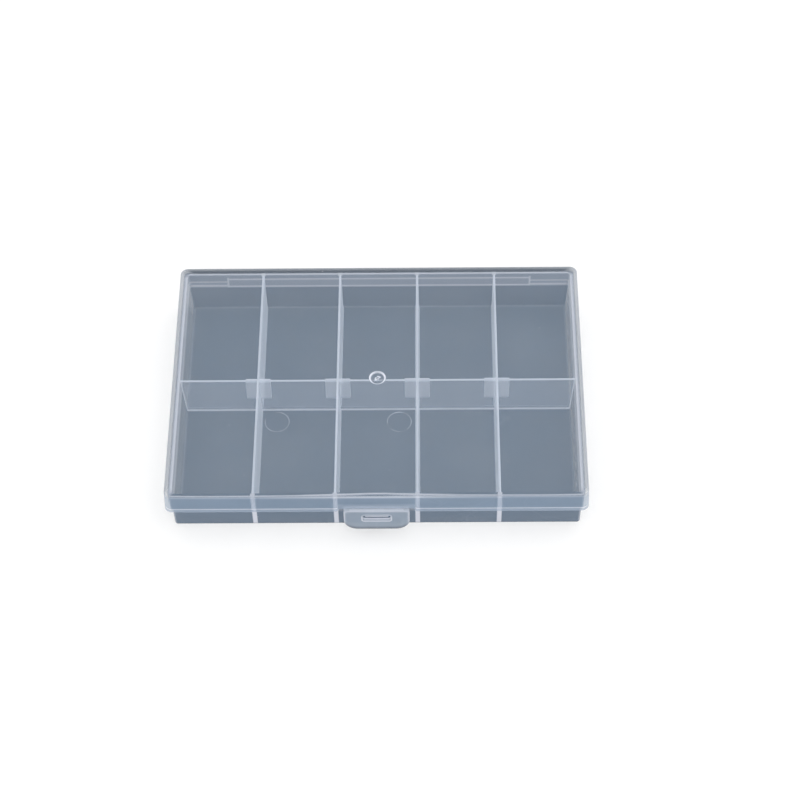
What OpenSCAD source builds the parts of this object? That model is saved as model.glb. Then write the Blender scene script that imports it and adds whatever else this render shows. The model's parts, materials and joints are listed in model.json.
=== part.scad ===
// Shallow bead organizer: a drafted tray with ten compartments under one hinged,
// skirted lid that closes with a flexible front tab.
// Origin: middle of the footprint on the table. +X right, +Y towards the hinge, +Z up.

/* [Outline] */
// Width of the lid's top face, left to right
lid_w = 135; // [120:1:160]
// Depth of the lid's top face, front to back
lid_d = 95; // [85:1:110]
// Height of the closed box
box_h = 18; // [17:0.5:24]

/* [Lid] */
// Thickness of the lid's top plate
plate_t = 1.0; // [0.8:0.1:1.3]
// Height of the skirt, from the lid's top face to its lower edge
skirt_h = 8; // [7.5:0.1:8.5]
// Thickness of the skirt at its lower edge
skirt_t = 1.15; // [0.9:0.05:1.2]
// How far the skirt flares out from top to bottom, on each side
skirt_flare = 0.3; // [0.1:0.05:0.4]
// Radius of the lid's upright corners
lid_corner_r = 2.4; // [2:0.1:4]
// Width of the moulding gate's round well in the lid's top
gate_w = 5.4; // [4:0.1:7]

/* [Tray] */
// Thickness of the tray's floor
floor_t = 1.2; // [0.9:0.1:1.6]
// Inset of the wall's outer face at its top edge, from the lid's top outline
wall_top_inset = 1.3; // [1.25:0.05:1.5]
// Inset of the wall's outer face at the foot of the tray
wall_foot_inset = 2.1; // [2:0.05:2.5]
// Thickness of the wall at its top edge
wall_t = 1.15; // [1:0.05:1.25]
// Height of the sloped shoulder under the skirt
shoulder_h = 2; // [1.5:0.1:2.5]
// Radius of the tray's upright corners
tray_corner_r = 1.0; // [0.8:0.1:1.5]

/* [Dividers] */
// Gap between a divider's top and the wall's top
divider_drop = 0.2; // [0:0.1:1]
// Thickness of a divider at its top
divider_top_t = 0.75; // [0.6:0.05:0.9]
// Thickness of a divider at its foot
divider_foot_t = 1.15; // [1:0.05:1.4]
// Spacing of the cross dividers
divider_pitch = 26.2; // [23:0.1:28]
// Width of the pad that stiffens the long divider at each crossing
pad_w = 8.3; // [6:0.1:10]
// How far a pad stands out from each face of the long divider
pad_proud = 0.3; // [0.2:0.05:0.5]
// Share of the divider's height that a pad and its lap slot take
pad_share = 0.57; // [0.4:0.01:0.7]

/* [Hinge] */
// Length of the hinge rail on the tray's back wall, without its pins
rail_l = 104; // [90:1:108]
// Radius of the rail's round back
rail_r = 1.6; // [1.4:0.05:1.6]
// Radius of the pins on the rail's ends
pin_r = 0.6; // [0.5:0.05:0.7]
// Length of each pin
pin_l = 2.8; // [2:0.1:3]
// Length of each lid knuckle along the hinge line
knuckle_l = 3; // [2.5:0.1:4]

/* [Latch] */
// Width of the tab
tab_w = 21; // [16:0.5:26]
// Height of the tab's lower edge over the table
tab_foot_z = 2; // [1.5:0.1:3]
// Thickness of the tab
tab_t = 1.1; // [0.9:0.05:1.2]
// Radius of the tab's lower corners
tab_corner_r = 4.5; // [3:0.1:4.8]
// Width of the window in the tab
window_w = 8.8; // [7:0.1:10]
// Height of the window in the tab
window_h = 2.9; // [2.5:0.1:3]
// Width of the relief cuts beside the tab
relief_w = 1.8; // [1.2:0.1:2.5]

/* [Hidden] */
$fn = 48;
slice_t = 0.01;

// Colours of the milky, blue-grey plastic
tray_colour = [0.55, 0.61, 0.67, 0.6];
divider_colour = [0.74, 0.78, 0.84, 0.7];
lid_colour = [0.66, 0.71, 0.77, 0.45];
latch_colour = [0.68, 0.73, 0.79, 0.7];

// Heights that several pieces share
lid_gap = 0.1;
under_plate_z = box_h - plate_t;
wall_top_z = under_plate_z - lid_gap;
skirt_z = box_h - skirt_h;
top_round = 0.5;
cut = 10;
past = 1;

// Lid section: the skirt's outer and inner face, as insets from the top outline
plate_under_inset = 1.1;
lid_inner_r = lid_corner_r * 0.6;
function lid_out(z) = -skirt_flare * (box_h - top_round - z) / (skirt_h - top_round);
function lid_in(z) =
    let (low = skirt_t - skirt_flare)
    plate_under_inset + (low - plate_under_inset) * (under_plate_z - z) / (under_plate_z - skirt_z);

// Gate: its well in the lid's top face, and the stub it left in the well
well_h = 0.45;
stub_h = well_h * 0.7;
stub_r = gate_w / 7;

// Tray section: the outer face steps in below the skirt, the inner face has plain draft
shoulder_gap = 0.6;
upper_draft = 0.05;
lower_draft = 0.15;
foot_wall_t = 1.35;
foot_round = 0.25;
tray_inner_r = tray_corner_r * 0.7;
shoulder_top_z = skirt_z - shoulder_gap;
shoulder_foot_z = shoulder_top_z - shoulder_h;
shoulder_top_inset = wall_top_inset + upper_draft;
shoulder_foot_inset = wall_foot_inset - lower_draft;
inner_top_inset = wall_top_inset + wall_t;
inner_foot_inset = wall_foot_inset + foot_wall_t;
function tray_out(z) =
    z > shoulder_top_z
    ? shoulder_top_inset + (wall_top_inset - shoulder_top_inset)
        * (z - shoulder_top_z) / (wall_top_z - shoulder_top_z)
    : z > shoulder_foot_z
    ? shoulder_foot_inset + (shoulder_top_inset - shoulder_foot_inset)
        * (z - shoulder_foot_z) / shoulder_h
    : wall_foot_inset + (shoulder_foot_inset - wall_foot_inset)
        * (z - foot_round) / (shoulder_foot_z - foot_round);
function tray_in(z) =
    inner_foot_inset + (inner_top_inset - inner_foot_inset)
        * (z - floor_t) / (wall_top_z - floor_t);

// Dividers
divider_top_z = wall_top_z - divider_drop;
divider_h = divider_top_z - floor_t;
lap_z = divider_top_z - pad_share * divider_h;
lap_gap = 0.02;
cross_count = 4;
function cross_x(i) = (i - (cross_count + 1) / 2) * divider_pitch;
function divider_half_t(z) =
    (divider_foot_t + (divider_top_t - divider_foot_t) * (z - floor_t) / divider_h) / 2;

// Hinge line, just behind the skirt and level with its lower edge
hinge_out = 0.25;
hinge_y = lid_d / 2 + hinge_out;
hinge_z = skirt_z;
sweep_gap = 0.4;
rail_end_gap = 0.3;
notch_z = hinge_z + rail_r + sweep_gap;
notch_half_w = rail_l / 2 + rail_end_gap;
pin_gap = 0.05;
bore_r = pin_r + pin_gap;
knuckle_r = 1.25;
knuckle_rise = 1.3;
knuckle_top_z = hinge_z + knuckle_rise;

// Latch: the tab hangs in front of the skirt from a ledge at its root
ledge_rise = 1.9;
root_rise = 1.5;
ledge_under_rise = 0.8;
tab_out = 1.6;
window_drop = 1.65;
window_r = 0.6;
bead_proud = 0.25;
bead_w = 0.55;
ledge_z = skirt_z + ledge_rise;
root_z = skirt_z + root_rise;
ledge_under_z = skirt_z + ledge_under_rise;
tab_front_y = -(lid_d / 2 + tab_out);
tab_back_y = tab_front_y + tab_t;
window_z = skirt_z - window_drop;

// Catch: a wedge that reaches from the tray's wall to just behind the tab
catch_gap = 0.15;
catch_side_gap = 0.6;
catch_foot_drop = 1.35;
catch_top_drop = 0.7;
catch_nose_h = 0.9;
catch_w = window_w - 2 * catch_side_gap;
catch_foot_z = window_z - catch_foot_drop;
catch_top_z = skirt_z - catch_top_drop;

// Rectangle with round corners, centred
module rounded_rect(w, d, r) {
    square([w - 2 * r, d], center = true);
    square([w, d - 2 * r], center = true);
    for (x = [-1, 1], y = [-1, 1])
        translate([x * (w / 2 - r), y * (d / 2 - r)]) circle(r);
}

// Drafted block through slices, each given as [height, inset from the lid's outline].
// A block that widens upwards has its faces through the slices' undersides.
module drafted_block(slices, r, widens = true) {
    hull()
        for (s = slices)
            translate([0, 0, widens ? s[0] : s[0] - slice_t])
                linear_extrude(slice_t)
                    rounded_rect(lid_w - 2 * s[1], lid_d - 2 * s[1], r);
}

// Outline drawn in Y and Z, drawn out along X about the middle
module along_x(l) {
    rotate([90, 0, 90]) linear_extrude(l, center = true) children();
}

// Outline drawn in X and Z, drawn out along Y from y0 to y1
module along_y(y0, y1) {
    translate([0, y1, 0]) rotate([90, 0, 0]) linear_extrude(y1 - y0) children();
}

// Strip of draft section, as a shape in its width and height
module divider_section(grow = 0, z0 = floor_t, z1 = divider_top_z) {
    polygon([
        [-divider_half_t(z0) - grow, z0], [divider_half_t(z0) + grow, z0],
        [divider_half_t(z1) + grow, z1], [-divider_half_t(z1) - grow, z1]
    ]);
}

// Side view of a strip that reaches from wall to wall across the given outline size
module divider_side(size) {
    foot = size / 2 - tray_in(floor_t);
    top = size / 2 - tray_in(divider_top_z);
    polygon([[-foot, floor_t], [foot, floor_t], [top, divider_top_z], [-top, divider_top_z]]);
}

// Tray: floor, drafted walls and the sloped shoulder below the lid's skirt
module tray_shell() {
    color(tray_colour)
    difference() {
        union() {
            drafted_block([
                [0, wall_foot_inset + foot_round],
                [foot_round, wall_foot_inset],
                [shoulder_foot_z, shoulder_foot_inset]
            ], tray_corner_r);
            drafted_block([
                [shoulder_foot_z, shoulder_foot_inset],
                [shoulder_top_z, shoulder_top_inset]
            ], tray_corner_r);
            drafted_block([
                [shoulder_top_z, shoulder_top_inset],
                [wall_top_z - slice_t, wall_top_inset]
            ], tray_corner_r);
        }
        drafted_block([
            [floor_t, tray_in(floor_t)],
            [box_h, tray_in(box_h)]
        ], tray_inner_r);
    }
}

// Long divider with a stiffening pad and an upward-open lap slot at each crossing
module long_divider() {
    color(divider_colour)
    difference() {
        union() {
            intersection() {
                along_x(lid_w) divider_section();
                along_y(-cut, cut) divider_side(lid_w);
            }
            for (i = [1 : cross_count])
                translate([cross_x(i), 0, 0])
                    along_x(pad_w)
                        translate([-divider_half_t(lap_z) - pad_proud, lap_z])
                            square([2 * (divider_half_t(lap_z) + pad_proud), divider_top_z - lap_z]);
        }
        for (i = [1 : cross_count])
            translate([cross_x(i), 0, 0])
                along_y(-cut, cut)
                    divider_section(lap_gap, lap_z, divider_top_z + past);
    }
}

// Cross divider with a downward-open lap slot over the long divider
module cross_divider(i) {
    color(divider_colour)
    translate([cross_x(i), 0, 0])
    difference() {
        intersection() {
            along_y(-lid_d / 2, lid_d / 2) divider_section();
            along_x(cut) divider_side(lid_d);
        }
        along_x(cut) divider_section(lap_gap, floor_t - past, lap_z);
    }
}

// Rail on the tray's back wall, with a pin on each end for the lid to turn on
module hinge_rail() {
    low = hinge_z - rail_r;
    high = hinge_z + rail_r;
    color(tray_colour)
    union() {
        along_x(rail_l)
            polygon([
                [lid_d / 2 - tray_out(low), low], [hinge_y, low], [hinge_y, high],
                [lid_d / 2 - tray_out(high), high],
                [lid_d / 2 - tray_out(shoulder_top_z), shoulder_top_z]
            ]);
        translate([0, hinge_y, hinge_z]) rotate([0, 90, 0]) {
            cylinder(h = rail_l, r = rail_r, center = true);
            cylinder(h = rail_l + 2 * pin_l, r = pin_r, center = true);
        }
    }
}

// Wedge on the tray's front wall that fills the tab's window. Its back follows the wall,
// which bends at the foot of the shoulder.
module latch_catch() {
    bend_z = max(shoulder_foot_z, catch_foot_z + slice_t);
    tip = tab_back_y + catch_gap;
    color(tray_colour)
    along_x(catch_w)
        polygon([
            for (z = [catch_foot_z, bend_z, catch_top_z]) [-(lid_d / 2 - tray_out(z)), z],
            [tip, catch_foot_z + catch_nose_h], [tip, catch_foot_z]
        ]);
}

// Block that opens the skirt's lower edge at y, up to the height z
module skirt_cut(l, y, z) {
    translate([-l / 2, y - cut / 2, skirt_z - past]) cube([l, cut, z - skirt_z + past]);
}

// Lid: a plate and its flared skirt, open at the hinge rail and at the tab
module lid_shell() {
    color(lid_colour)
    difference() {
        drafted_block([
            [skirt_z + slice_t, lid_out(skirt_z)],
            [box_h - top_round, 0],
            [box_h, top_round]
        ], lid_corner_r, widens = false);
        drafted_block([
            [skirt_z - past, lid_in(skirt_z - past)],
            [under_plate_z, lid_in(under_plate_z)]
        ], lid_inner_r, widens = false);
        // Opening for the rail, and the seats of the two knuckles beside it
        skirt_cut(2 * notch_half_w, lid_d / 2, notch_z);
        skirt_cut(2 * (notch_half_w + knuckle_l), lid_d / 2, knuckle_top_z);
        // Opening for the root of the tab and its two relief cuts
        skirt_cut(tab_w + 2 * relief_w, -lid_d / 2, root_z);
        // Well left by the moulding gate, with the gate's stub in it
        translate([0, 0, box_h - well_h])
            difference() {
                cylinder(h = well_h + past, r = gate_w / 2);
                cylinder(h = stub_h, r = stub_r);
            }
    }
}

// Knuckle that hangs from the skirt beside the rail and turns on the rail's pin
module hinge_knuckle(side) {
    middle = side * (notch_half_w + knuckle_l / 2);
    color(lid_colour)
    translate([middle, 0, 0])
    difference() {
        union() {
            translate([0, hinge_y, hinge_z]) rotate([0, 90, 0])
                cylinder(h = knuckle_l, r = knuckle_r, center = true);
            translate([-knuckle_l / 2, hinge_y - knuckle_r, hinge_z])
                cube([knuckle_l, 2 * knuckle_r, knuckle_top_z - hinge_z]);
        }
        translate([0, hinge_y, hinge_z]) rotate([0, 90, 0])
            cylinder(h = knuckle_l + 2 * past, r = bore_r, center = true);
    }
}

// Section of the tab: a root strip in the skirt's opening, a ledge, and the hanging plate
module tab_section() {
    polygon([
        [-(lid_d / 2 - lid_in(skirt_z)), skirt_z],
        [-(lid_d / 2 - lid_in(root_z)), root_z],
        [-(lid_d / 2 - lid_out(root_z)), root_z],
        [-(lid_d / 2 - lid_out(ledge_z)), ledge_z],
        [tab_front_y, ledge_z],
        [tab_front_y, tab_foot_z],
        [tab_back_y, tab_foot_z],
        [tab_back_y, ledge_under_z],
        [-(lid_d / 2 - lid_out(skirt_z)), ledge_under_z],
        [-(lid_d / 2 - lid_out(skirt_z)), skirt_z]
    ]);
}

// Front view of the tab, with its large lower corners
module tab_front() {
    h = ledge_z - tab_foot_z;
    translate([-tab_w / 2, tab_foot_z + tab_corner_r]) square([tab_w, h - tab_corner_r]);
    translate([-tab_w / 2 + tab_corner_r, tab_foot_z]) square([tab_w - 2 * tab_corner_r, h]);
    for (x = [-1, 1])
        translate([x * (tab_w / 2 - tab_corner_r), tab_foot_z + tab_corner_r]) circle(tab_corner_r);
}

// Tab with its window and the bead that frames the window
module latch_tab() {
    color(latch_colour)
    difference() {
        union() {
            intersection() {
                along_x(tab_w) tab_section();
                along_y(tab_front_y - past, 0) tab_front();
            }
            along_y(tab_front_y - bead_proud, tab_back_y)
                translate([0, window_z])
                    rounded_rect(window_w + 2 * bead_w, window_h + 2 * bead_w, window_r + bead_w);
        }
        along_y(tab_front_y - past, tab_back_y + past)
            translate([0, window_z])
                rounded_rect(window_w, window_h, window_r);
    }
}

tray_shell();
long_divider();
cross_divider(1);  // cross_divider_1
cross_divider(2);  // cross_divider_2
cross_divider(3);  // cross_divider_3
cross_divider(4);  // cross_divider_4
hinge_rail();
latch_catch();
lid_shell();
hinge_knuckle(-1);  // hinge_knuckle_left
hinge_knuckle(1);  // hinge_knuckle_right
latch_tab();
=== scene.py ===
# %% [markdown]
# # A bead organizer with one hinged lid, dressed for its portrait
#
# The object is a flat box of milky, blue-grey plastic: a tray with ten compartments, and a
# skirted lid that clicks shut with a soft front tab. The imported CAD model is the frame. It
# fixes every size and every hinge. This script gives each piece the small shapes of a real
# moulding, such as rounded lips, drafted walls and fillets, and a plastic that lets light in.
#
# The frame comes first, so that all later cells can ask it where things are.

# %% Load the frame
import json
import math

import bmesh
import bpy
from mathutils import Euler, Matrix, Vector

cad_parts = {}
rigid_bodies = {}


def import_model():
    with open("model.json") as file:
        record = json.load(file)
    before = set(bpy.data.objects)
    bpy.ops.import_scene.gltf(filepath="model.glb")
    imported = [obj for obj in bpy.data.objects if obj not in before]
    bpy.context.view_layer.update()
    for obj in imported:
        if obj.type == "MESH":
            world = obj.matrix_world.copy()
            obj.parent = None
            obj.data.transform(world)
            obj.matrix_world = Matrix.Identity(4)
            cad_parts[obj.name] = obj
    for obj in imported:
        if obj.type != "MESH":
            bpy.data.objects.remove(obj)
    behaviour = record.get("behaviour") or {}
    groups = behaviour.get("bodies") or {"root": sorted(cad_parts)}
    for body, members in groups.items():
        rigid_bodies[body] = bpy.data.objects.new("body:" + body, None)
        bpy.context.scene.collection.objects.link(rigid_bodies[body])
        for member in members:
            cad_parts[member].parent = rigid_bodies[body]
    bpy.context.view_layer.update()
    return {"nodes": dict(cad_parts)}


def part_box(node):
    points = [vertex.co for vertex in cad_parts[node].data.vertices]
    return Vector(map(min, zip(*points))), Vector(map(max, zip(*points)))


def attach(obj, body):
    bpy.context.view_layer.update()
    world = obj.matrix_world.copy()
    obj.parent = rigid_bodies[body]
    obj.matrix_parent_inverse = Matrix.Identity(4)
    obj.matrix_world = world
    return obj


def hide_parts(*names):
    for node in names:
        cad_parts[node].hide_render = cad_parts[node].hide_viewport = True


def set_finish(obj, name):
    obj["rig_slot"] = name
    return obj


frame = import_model()
print("CAD nodes:", ", ".join(sorted(frame["nodes"])))

# %% [markdown]
# ## Camera
#
# The photograph looks down on the box from about 53 degrees through a long lens, so its
# edges converge only a little. The camera's place was worked out from the box's corners,
# its dividers and its hinge line, which fixes the lens and the angles together.

# %% Camera
EYE_MM = (16.818, -463.488, 620.787)
TURN_DEG = (36.998, 0.758, 0.174)
LENS_MM = 104.1

camera_data = bpy.data.cameras.new("studio_camera")
camera_data.lens = LENS_MM
camera_data.sensor_width = 36
camera_data.clip_start, camera_data.clip_end = 0.01, 20
camera = bpy.data.objects.new("studio_camera", camera_data)
camera.location = [v / 1000 for v in EYE_MM]
camera.rotation_euler = Euler([math.radians(v) for v in TURN_DEG], "XYZ")
bpy.context.scene.collection.objects.link(camera)
bpy.context.scene.camera = camera
print("camera", round(camera.location.length, 3), "m from the middle of the box")

# %% [markdown]
# ## Floor and light
#
# A see-through object shows whatever lies behind it, so the stage is kept plain: a pale
# floor, a pale sky for even light, and one large soft lamp that gives the edges a sheen.
# The standard view keeps pale things pale, without a film curve over them.

# %% Floor
FLOOR_HALF, FLOOR_DROP = 3.0, 0.00005
floor_mesh = bpy.data.meshes.new("studio_floor")
floor_mesh.from_pydata(
    [(x * FLOOR_HALF, y * FLOOR_HALF, 0) for x, y in ((-1, -1), (1, -1), (1, 1), (-1, 1))],
    [], [(0, 1, 2, 3)])
studio_floor = bpy.data.objects.new("studio_floor", floor_mesh)
studio_floor.location.z = -FLOOR_DROP
bpy.context.scene.collection.objects.link(studio_floor)
print("floor", 2 * FLOOR_HALF, "m square")

# %% Sky and lamps
scene = bpy.context.scene
scene.view_settings.view_transform = "Standard"
scene.cycles.transparent_max_bounces = 48
world = bpy.data.worlds.new("studio_sky")
scene.world = world
world.use_nodes = True
world.node_tree.nodes["Background"].inputs["Color"].default_value = (1.0, 1.0, 1.0, 1)
world.node_tree.nodes["Background"].inputs["Strength"].default_value = 0.9


def soft_lamp(name, place, watts, size):
    data = bpy.data.lights.new(name, "AREA")
    data.shape, data.size, data.energy = "DISK", size, watts
    lamp = bpy.data.objects.new(name, data)
    lamp.location = place
    lamp.rotation_mode = "QUATERNION"
    lamp.rotation_quaternion = (-Vector(place)).to_track_quat("-Z", "Y")
    scene.collection.objects.link(lamp)
    return lamp


key_lamp = soft_lamp("key_lamp", (0.2, 0.1, 1.4), 6, 1.2)
print("sky and", key_lamp.name)

# %% [markdown]
# ## Tools for moulded shapes
#
# Nearly every piece here is a *loft*: a chain of rings with the same number of points,
# skinned with four-sided faces. A ring that shrinks a little at an edge makes a rounded
# edge, and that is what a moulded part has instead of a sharp one. Each ring also carries
# two painted marks for the plastic's material: `glow`, a painted highlight that makes an
# edge or a band look bright and milky, and `shade`, painted shade that makes a rim look dark.

# %% Mesh from points in millimetres
MM = 0.001
SHARP_DEG = 50


def mesh_piece(name, points, faces, glow, shade):
    """A closed piece from points in mm, with its painted glow and shade marks on its points."""
    mesh = bpy.data.meshes.new(name)
    mesh.from_pydata([(x * MM, y * MM, z * MM) for x, y, z in points], [], faces)
    for label, values in (("glow", glow), ("shade", shade)):
        mesh.attributes.new(label, "FLOAT", "POINT").data.foreach_set("value", values)
    bm = bmesh.new()
    bm.from_mesh(mesh)
    bmesh.ops.remove_doubles(bm, verts=bm.verts, dist=1e-7)
    bmesh.ops.recalc_face_normals(bm, faces=bm.faces)
    open_edges = sum(not e.is_manifold for e in bm.edges)
    volume = bm.calc_volume() * 1e9
    bm.to_mesh(mesh)
    bm.free()
    mesh.shade_smooth()
    mesh.set_sharp_from_angle(angle=math.radians(SHARP_DEG))
    piece = bpy.data.objects.new(name, mesh)
    scene.collection.objects.link(piece)
    even = piece.modifiers.new("even_shading", "WEIGHTED_NORMAL")
    even.keep_sharp = True
    print(f"{name}: {len(mesh.polygons)} faces, {open_edges} open edges, {volume:.0f} mm3")
    return piece


print("points are in mm, and edges of over", SHARP_DEG, "degrees stay sharp")

# %% Loft through rings
def loft(name, rings, tube=False):
    """Skin through rings of (points, glow, shade). A tube joins the last ring to the first,
    and any other loft is closed with a face at each end."""
    count = len(rings[0][0])
    points, glow, shade = [], [], []
    for ring, g, s in rings:
        points += ring
        glow += g if isinstance(g, list) else [g] * count
        shade += s if isinstance(s, list) else [s] * count
    faces = []
    steps = len(rings) if tube else len(rings) - 1
    for k in range(steps):
        a, b = k * count, (k + 1) % len(rings) * count
        for i in range(count):
            j = (i + 1) % count
            faces.append((a + i, a + j, b + j, b + i))
    if not tube:
        last = (len(rings) - 1) * count
        faces += [tuple(range(count)), tuple(range(last, last + count))]
    return mesh_piece(name, points, faces, glow, shade)


def spread(low, high, count):
    """Evenly spaced values, ends included."""
    return [low + (high - low) * i / (count - 1) for i in range(count)]


print("loft ready")

# %% [markdown]
# ## The box's outline
#
# Tray and lid share one outline, seen from above: a rectangle with round corners. A point
# of it is kept as a *column*, which says where on the outline it stands. Its inset from the
# lid's outline is given later, once for each ring. So the wall's draft, the skirt's flare
# and the sloped shoulder all come from the same columns, and upright edges stay upright.

# %% Columns of the outline
HALF_W, HALF_D = 67.5, 47.5
ARC_STEPS = 6


def columns(front_xs, back_xs, side_ys):
    """Columns anticlockwise from the front left. Each is (kind, side, side, value)."""
    def corner(sx, sy, start):
        return [("arc", sx, sy, math.radians(start + 90 * i / ARC_STEPS))
                for i in range(ARC_STEPS + 1)]
    made = [("x", 0, -1, x) for x in front_xs] + corner(1, -1, -90)
    made += [("y", 1, 0, y) for y in side_ys] + corner(1, 1, 0)
    made += [("x", 0, 1, x) for x in reversed(back_xs)] + corner(-1, 1, 90)
    made += [("y", -1, 0, y) for y in reversed(side_ys)] + corner(-1, -1, 180)
    return made


def stand(column, inset, radius):
    """Where a column stands, in mm, when the outline is inset."""
    kind, sx, sy, value = column
    if kind == "x":
        return value, sy * (HALF_D - inset)
    if kind == "y":
        return sx * (HALF_W - inset), value
    return (sx * (HALF_W - inset - radius) + radius * math.cos(value),
            sy * (HALF_D - inset - radius) + radius * math.sin(value))


print("outline", 2 * HALF_W, "by", 2 * HALF_D, "mm")

# %% [markdown]
# ## Tray
#
# The tray is one thin moulding. Its walls lean outwards so that it leaves the mould, it
# steps in under the lid's skirt at a sloped shoulder, and its lip is rounded. The long front
# wall bowed inwards a little as it cooled. A painted highlight line along its lip bends with
# the bow and shows through the lid as a second, curved line. A loft from the foot, up the
# outside, over the lip and down the inside gives the real wall thickness, so the plastic can
# be lit as a solid.

# %% Wall of the tray
FLOOR_Z, WALL_TOP_Z = 1.2, 16.9
INNER_TOP_INSET, INNER_FOOT_INSET = 2.45, 3.45
FRONT_BOW, BOW_POWER = 0.15, 1.4
BOW_HALF_W, BOW_END = 56, 64


def inner_inset(z):
    share = (z - FLOOR_Z) / (WALL_TOP_Z - FLOOR_Z)
    return INNER_FOOT_INSET + (INNER_TOP_INSET - INNER_FOOT_INSET) * share


def front_bow(x, z):
    """How far the front wall has bowed inwards at a place, in mm. Near its ends it bows out."""
    wave = math.cos(math.pi * min(1.0, abs(x) / BOW_HALF_W))
    fade = min(1.0, max(0.0, (BOW_END - abs(x)) / (BOW_END - BOW_HALF_W)))
    return FRONT_BOW * wave * fade * max(0.0, z / WALL_TOP_Z) ** BOW_POWER


print("the front wall bows in by", FRONT_BOW, "mm")

# %% Places of the dividers
cross_nodes = [f"cross_divider_{i}" for i in (1, 2, 3, 4)]
cross_places = [sum(corner.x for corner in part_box(n)) / 2 / MM for n in cross_nodes]
SEAM_IN, SEAM_OUT = 0.6, 0.85
SEAM_REACH = (SEAM_IN + SEAM_OUT) / 2
print("cross strips at", [round(x, 2) for x in cross_places])


def seam_columns(places):
    """Columns on both sides of each place where a strip meets the wall."""
    return [x + d for x in places for d in (-SEAM_OUT, -SEAM_IN, SEAM_IN, SEAM_OUT)]


# %% Rings of the tray and their marks
TRAY_OUTER_R, TRAY_INNER_R = 1.0, 0.8
# Inset, height, glow and shade of each ring, from the foot up to the lip. Glow is a
# painted highlight, and shade is painted shade that darkens the foot and the underside
outer_section = [
    (3.2, 0.0, 0.0, 0.3), (2.5, 0.0, 0.0, 0.8), (2.27, 0.04, 0.0, 0.9), (2.16, 0.12, 0.1, 0.6),
    (2.1, 0.3, 0.08, 0.25), (2.09, 0.9, 0.08, 0.0), (2.03, 4.0, 0.08, 0.0),
    (1.972, 6.75, 0.08, 0.0), (1.97, 6.9, 0.08, 0.0), (1.93, 7.3, 0.15, 0.0),
    (1.84, 7.75, 0.2, 0.0), (1.44, 9.1, 0.2, 0.0), (1.37, 9.4, 0.15, 0.0),
    (1.35, 9.9, 0.1, 0.0), (1.31, 16.2, 0.0, 0.0)]
# Height of each ring down the inside, and its glow at the back beside the rail, at the back
# in front of the rail, and at the sides. This glow is painted brightness that stands in for
# the rail and the skirt's lip seen through the wall
inner_marks = [
    (16.1, 0.37, 0.37, 0.6), (15.5, 0.37, 0.46, 0.52), (15.1, 0.37, 1.1, 0.48),
    (14.7, 0.37, 0.56, 0.5), (14.2, 0.39, 0.41, 0.6), (13.8, 0.95, 0.41, 0.62),
    (13.4, 0.41, 0.41, 0.62), (12.6, 0.43, 0.41, 0.45), (12.1, 0.95, 0.46, 0.3),
    (11.7, 0.85, 1.1, 0.15), (11.3, 0.4, 0.65, 0.05), (10.9, 0.1, 0.1, 0.0),
    (9.0, 0.09, 0.09, 0.0), (2.1, 0.07, 0.07, 0.0)]
print(len(outer_section), "rings up the wall,", len(inner_marks), "down its inside")

# %% Columns of the tray
# The rail's ends are painted as short bright upright bars, and the catch's root as a painted
# bright patch that fills the shade seen under the catch through the tab's window
RAIL_BAR_X, BAR_HALF, BAR_SOFT = 51.5, 0.2, 0.2
BAR_LOW_Z, BAR_HIGH_Z, BAR_GLOW = 11, 15.7, 0.9
ROOT_REACH, ROOT_SOFT = 4.0, 0.1
ROOT_LOW_Z, ROOT_HIGH_Z, ROOT_GLOW = 6.8, 9.3, 0.7
bar_ends = [sx * RAIL_BAR_X + d for sx in (-1, 1)
            for d in (-BAR_HALF - BAR_SOFT, -BAR_HALF, BAR_HALF, BAR_HALF + BAR_SOFT)]
root_ends = [sx * ROOT_REACH + d for sx in (-1, 1) for d in (-ROOT_SOFT, ROOT_SOFT)]
tray_columns = columns(sorted(spread(-63, 63, 28) + seam_columns(cross_places) + root_ends),
                       sorted(spread(-60, 60, 6) + bar_ends + seam_columns(cross_places)),
                       sorted(spread(-40, 40, 6) + seam_columns([0.0])))
print(len(tray_columns), "columns round the tray")


def facing(column):
    """How far a column's wall faces the back, the sides and the front, from 0 to 1."""
    kind, sx, sy, value = column
    if kind == "arc":
        return max(0.0, math.sin(value)), abs(math.cos(value)), max(0.0, -math.sin(value))
    return float(sy == 1), abs(float(sx)), float(sy == -1)


def by_side(column, back, side, front):
    """A mark that has one value at the back, one at the sides and one at the front."""
    shares = facing(column)
    return sum(s * v for s, v in zip(shares, (back, side, front))) / sum(shares)


def at_seam(column):
    """Says if a strip ends behind a column."""
    kind, sx, sy, value = column
    places = cross_places if kind == "x" else [0.0] if kind == "y" else []
    return any(abs(value - p) < SEAM_REACH for p in places)


# %% Painted highlights of the tray's wall and lip
SEAM_GLOW, SEAM_LOW_Z = 1.2, 0.2
EDGE_GLOW, EDGE_LOW_Z, EDGE_SHARE = 0.4, 0.3, 0.8
LINE_HALF_W, LINE_MIDDLE, LINE_SWING, LINE_HALF = 26, 1.82, 0.62, 0.4
SEAM_LIP_GLOW = 0.85


def tray_ring(inset, z, radius):
    """Ring of the tray. The points along its front wall follow the wall's bow."""
    ring = []
    for column in tray_columns:
        x, y = stand(column, inset, radius)
        if column[2] == -1 and z > 0:
            y += front_bow(x, z)
        ring.append((x, y, z))
    return ring


def outer_glow(column, z, base):
    """Painted brightness where a strip's end or the catch's root meets the wall, and a painted
    highlight along the upright edges."""
    kind, sx, sy, value = column
    if z > SEAM_LOW_Z and at_seam(column):
        return SEAM_GLOW
    if kind == "x" and sy == -1 and abs(value) < ROOT_REACH and ROOT_LOW_Z < z < ROOT_HIGH_Z:
        return ROOT_GLOW
    at_edge = kind == "arc" and abs(math.sin(2 * value)) > EDGE_SHARE
    return EDGE_GLOW if at_edge and z > EDGE_LOW_Z else base


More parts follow.
